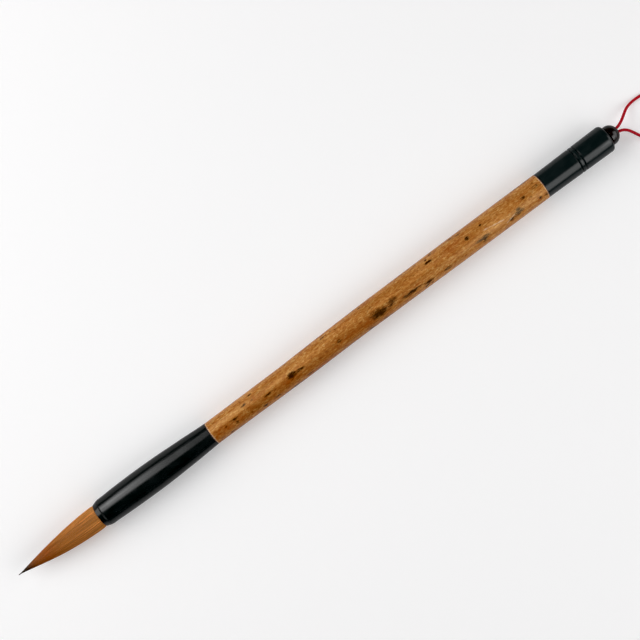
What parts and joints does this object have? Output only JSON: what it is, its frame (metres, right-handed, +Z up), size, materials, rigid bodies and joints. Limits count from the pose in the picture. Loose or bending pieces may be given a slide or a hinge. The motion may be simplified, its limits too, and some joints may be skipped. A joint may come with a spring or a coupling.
{
  "type": "calligraphy brush",
  "caption": "Calligraphy brush: pointed hair tuft in a turned black ferrule, mottled bamboo handle, grooved tail cap, domed knob and red hanging loop.",
  "frame": {"origin": "under the middle of the brush, on the surface it lies on", "axes": "+X along the brush from the hair's tip to the knob, +Z up from the surface it lies on"},
  "size_m": [0.3099, 0.0213, 0.0113],
  "materials": {
    "tuft_hair": "fine animal hair, golden brown at the mouth to near-black at the point",
    "binding_thread": "waxed thread",
    "root_resin": "hard amber resin",
    "ferrule_black": "polished black, gloss",
    "lacquered_bamboo": "mottled bamboo under a thin semi-gloss lacquer",
    "cap_black": "turned black, satin",
    "knob_dark": "polished very dark brown",
    "red_cord": "round braided cord, deep red"
  },
  "bodies": {
    "handle": {"ferrule": "ferrule_black", "root_bundle": "tuft_hair", "root_binding": "binding_thread", "root_resin": "root_resin", "bamboo_handle": "lacquered_bamboo", "tail_cap": "cap_black", "knob": "knob_dark", "cord_knot": "red_cord", "hanging_cord": "red_cord"},
    "belly": {"belly_core": "tuft_hair", "belly_cover": "tuft_hair"},
    "point": {"point_hairs": "tuft_hair"}
  },
  "joints": [
    {"name": "belly_bend", "type": "hinge", "parent": "handle", "child": "belly", "pos_m": [-0.1061, 0, 0.00565], "axis": [0, 0, 1], "range_deg": [-32, 32], "stiffness_Nm_per_rad": 0.012},
    {"name": "point_bend", "type": "hinge", "parent": "belly", "child": "point", "pos_m": [-0.1196, 0, 0.00565], "axis": [0, 0, 1], "range_deg": [-40, 40], "stiffness_Nm_per_rad": 0.002}
  ],
  "couplings": [
    {"joint": "point_bend", "follows": "belly_bend", "ratio": 1.25}
  ]
}
